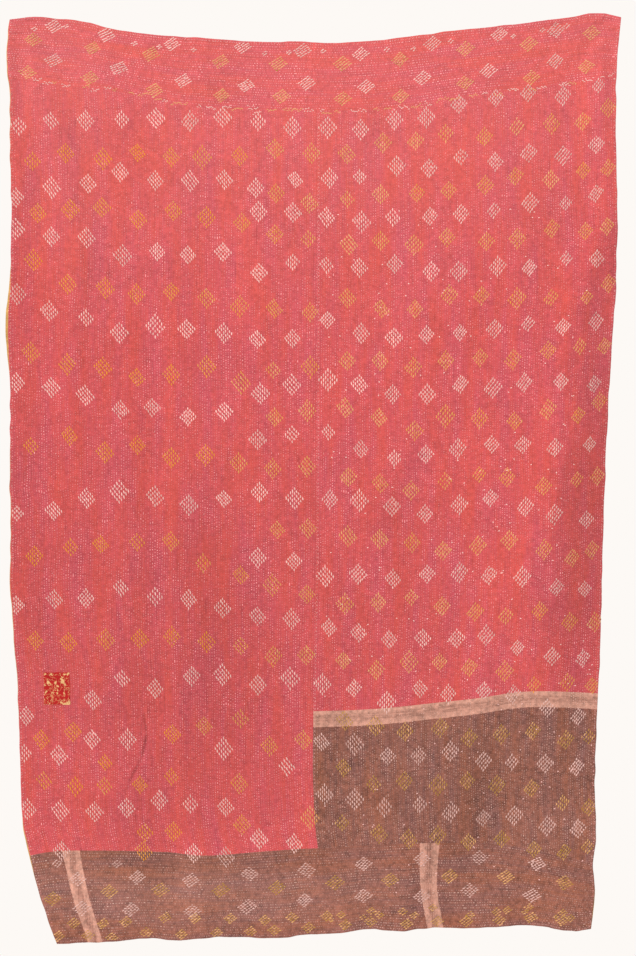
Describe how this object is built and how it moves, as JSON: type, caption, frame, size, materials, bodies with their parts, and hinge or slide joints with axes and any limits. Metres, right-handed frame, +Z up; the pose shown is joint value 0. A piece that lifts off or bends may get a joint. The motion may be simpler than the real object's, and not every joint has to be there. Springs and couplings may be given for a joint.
{
  "type": "kantha quilt",
  "caption": "Thin layered cotton quilt of pieced red and brown panels with rows of running stitch and diamond motifs, hanging by its top corners as a throw or bed cover.",
  "frame": {"origin": "middle of the quilt's top edge, on the worked face", "axes": "+Z up, against the hang of the cloth; +X to the right of someone who faces the worked side; +Y from the worked face to the back"},
  "size_m": [1.407, 0.054, 2.1332],
  "materials": {
    "red_cotton": "faded coral red cotton, matt, quilted in fine running stitch",
    "brown_cotton": "faded brown cotton, matt, with woven tan bands",
    "printed_patch": "dark red cotton with a small cream leaf print",
    "ochre_lining": "plain ochre cotton, matt",
    "white_thread": "soft cream cotton thread",
    "yellow_thread": "soft golden cotton thread",
    "pink_thread": "fine pale pink cotton thread"
  },
  "bodies": {
    "root": {"left_panel": "red_cotton", "right_panel": "red_cotton", "top_band_left": "red_cotton", "top_band_right": "red_cotton", "brown_panel": "brown_cotton", "bottom_strip": "brown_cotton", "patch": "printed_patch", "lining": "ochre_lining"}
  },
  "joints": []
}
